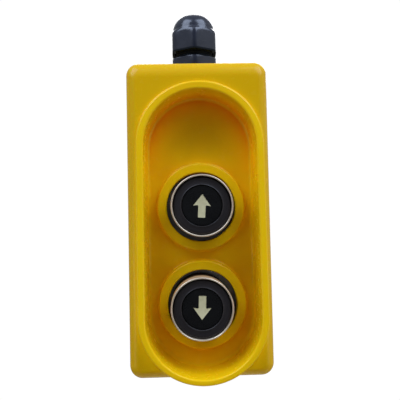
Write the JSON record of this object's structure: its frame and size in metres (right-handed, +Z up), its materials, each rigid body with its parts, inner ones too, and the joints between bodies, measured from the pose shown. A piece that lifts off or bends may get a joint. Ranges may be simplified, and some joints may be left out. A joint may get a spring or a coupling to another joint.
{
  "type": "pendant control station",
  "caption": "Hanging push-button control station: slim plastic case with a rounded guard rim, up and down buttons in metal bezels, and a cable gland on top.",
  "frame": {"origin": "centre of the top of the gland's cap, where the control cable enters and by which the station hangs", "axes": "+Z up along the gland's axis, the buttons face -Y and go in along +Y, +X is to the right of someone facing the buttons"},
  "size_m": [0.0716, 0.072, 0.1883],
  "materials": {
    "yellow_plastic": "semi-gloss moulded thermoplastic",
    "black_plastic": "glossy black moulding",
    "disc_plastic": "glossy black insert",
    "arrow_inlay": "matt cream inlay",
    "plated_steel": "zinc plated",
    "bezel_metal": "polished nickel plate",
    "brass": "bare brass",
    "gland_nylon": "dark satin nylon",
    "seal_rubber": "matt black rubber",
    "contact_plastic": "grey moulded plastic",
    "plunger_plastic": "white moulded plastic",
    "spring_steel": "bright spring wire"
  },
  "bodies": {
    "enclosure": {"front_housing": "yellow_plastic", "back_cover": "yellow_plastic", "cover_gasket": "seal_rubber", "cover_screw_1": "plated_steel", "plate_screw_1": "plated_steel", "cover_screw_2": "plated_steel", "plate_screw_2": "plated_steel", "cover_screw_3": "plated_steel", "plate_screw_3": "plated_steel", "cover_screw_4": "plated_steel", "plate_screw_4": "plated_steel", "mounting_plate": "plated_steel", "earth_screw": "brass", "earth_nut": "brass", "gland_body": "gland_nylon", "gland_locknut": "gland_nylon", "gland_claw": "gland_nylon", "gland_washer": "seal_rubber", "gland_seal": "seal_rubber", "up_bezel": "bezel_metal", "up_panel_gasket": "seal_rubber", "up_operator_body": "black_plastic", "up_stem_seal": "seal_rubber", "up_ring_nut": "plated_steel", "up_return_spring": "spring_steel", "up_contact_block": "contact_plastic", "up_contact_spring": "spring_steel", "up_upper_terminal": "brass", "up_lower_terminal": "brass", "up_upper_terminal_screw": "plated_steel", "up_lower_terminal_screw": "plated_steel", "down_bezel": "bezel_metal", "down_panel_gasket": "seal_rubber", "down_operator_body": "black_plastic", "down_stem_seal": "seal_rubber", "down_ring_nut": "plated_steel", "down_return_spring": "spring_steel", "down_contact_block": "contact_plastic", "down_contact_spring": "spring_steel", "down_upper_terminal": "brass", "down_lower_terminal": "brass", "down_upper_terminal_screw": "plated_steel", "down_lower_terminal_screw": "plated_steel"},
    "up_button": {"up_cap": "black_plastic", "up_disc": "disc_plastic", "up_arrow": "arrow_inlay", "up_plunger": "plunger_plastic", "up_contact_slider": "plunger_plastic", "up_contact_bridge": "brass"},
    "down_button": {"down_cap": "black_plastic", "down_disc": "disc_plastic", "down_arrow": "arrow_inlay", "down_plunger": "plunger_plastic", "down_contact_slider": "plunger_plastic", "down_contact_bridge": "brass"},
    "gland_cap_nut": {"gland_cap": "gland_nylon"}
  },
  "joints": [
    {"name": "up_press", "type": "slide", "parent": "enclosure", "child": "up_button", "axis": [0, 1, 0], "range_m": [0, 0.0045], "stiffness_N_per_m": 1500, "springref_m": -0.003, "deforming": ["up_return_spring", "up_contact_spring"]},
    {"name": "down_press", "type": "slide", "parent": "enclosure", "child": "down_button", "axis": [0, 1, 0], "range_m": [0, 0.0045], "stiffness_N_per_m": 1500, "springref_m": -0.003, "deforming": ["down_return_spring", "down_contact_spring"]},
    {"name": "gland_cap_turn", "type": "hinge", "parent": "enclosure", "child": "gland_cap_nut", "pos_m": [0, 0, -0.01], "axis": [0, 0, 1], "range_deg": [-60, 60]}
  ]
}
